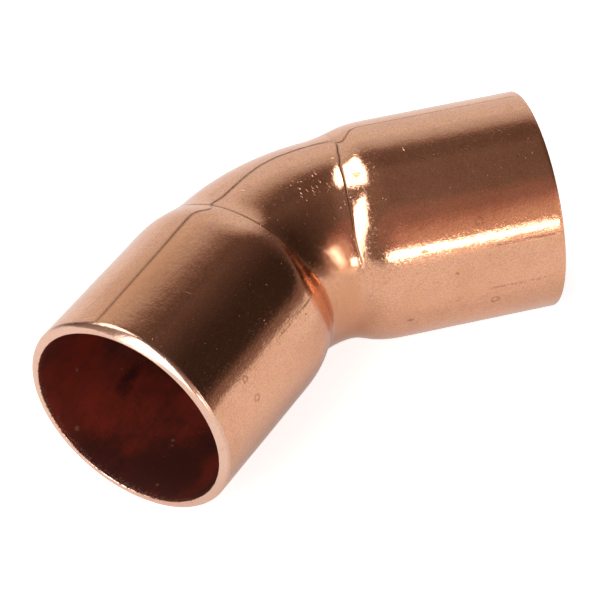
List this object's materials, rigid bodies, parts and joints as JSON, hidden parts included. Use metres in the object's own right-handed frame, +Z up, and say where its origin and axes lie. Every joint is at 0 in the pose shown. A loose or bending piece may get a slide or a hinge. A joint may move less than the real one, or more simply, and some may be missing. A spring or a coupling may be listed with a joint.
{
  "type": "copper pipe elbow",
  "caption": "Forty-five degree wrought copper elbow with a solder cup at each end, for turning a run of copper water tube.",
  "frame": {"origin": "middle of the footprint of the elbow's bounding box, on the surface it lies on", "axes": "+X along the elbow's length, with the elbow even about the YZ plane; +Y towards the outer curve of the bend; +Z up, square to the plane of the bend, which is level"},
  "size_m": [0.0456, 0.0232, 0.0176],
  "materials": {
    "copper": "bright drawn copper, lightly marked, darker and oxidised inside"
  },
  "bodies": {
    "root": {"elbow": "copper"}
  },
  "joints": []
}
